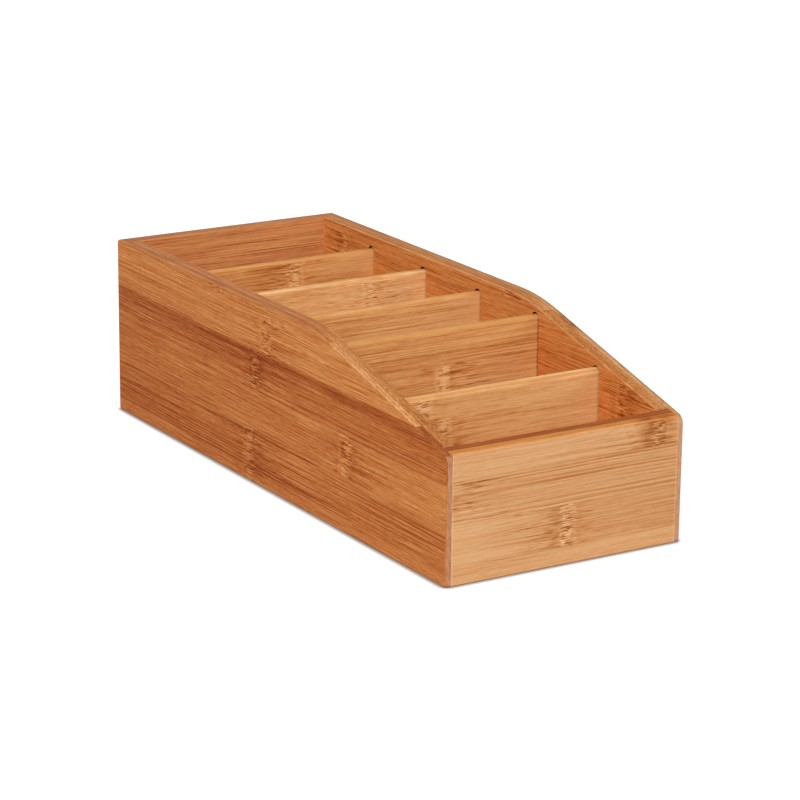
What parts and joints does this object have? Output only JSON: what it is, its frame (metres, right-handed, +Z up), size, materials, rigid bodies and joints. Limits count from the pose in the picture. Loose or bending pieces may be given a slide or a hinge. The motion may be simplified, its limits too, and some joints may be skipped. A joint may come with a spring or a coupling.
{
  "type": "bamboo storage box",
  "caption": "Long open bamboo box with a sloping low front, laminated walls and cross dividers that make a row of equal compartments.",
  "frame": {"origin": "on the surface the box stands on, under the middle of the box", "axes": "+Z up, +Y along the box towards its tall back end, +X across it to the right"},
  "size_m": [0.14, 0.35, 0.1],
  "materials": {
    "side_outer_bamboo": "satin clear lacquer on caramel bamboo, side strips with nodes",
    "side_inner_bamboo": "satin clear lacquer on caramel bamboo",
    "end_outer_bamboo": "satin clear lacquer on light bamboo, fine fibres",
    "end_inner_bamboo": "satin clear lacquer on darker bamboo",
    "divider_bamboo": "satin clear lacquer on light bamboo, rounded top",
    "base_bamboo": "satin clear lacquer on bamboo"
  },
  "bodies": {
    "root": {"left_side_outer_ply": "side_outer_bamboo", "left_side_inner_ply": "side_inner_bamboo", "right_side_outer_ply": "side_outer_bamboo", "right_side_inner_ply": "side_inner_bamboo", "front_panel_outer_ply": "end_outer_bamboo", "front_panel_inner_ply": "end_inner_bamboo", "back_panel_outer_ply": "end_outer_bamboo", "back_panel_inner_ply": "end_inner_bamboo", "base_panel": "base_bamboo", "divider_1": "divider_bamboo", "divider_2": "divider_bamboo", "divider_3": "divider_bamboo", "divider_4": "divider_bamboo", "divider_5": "divider_bamboo"}
  },
  "joints": []
}
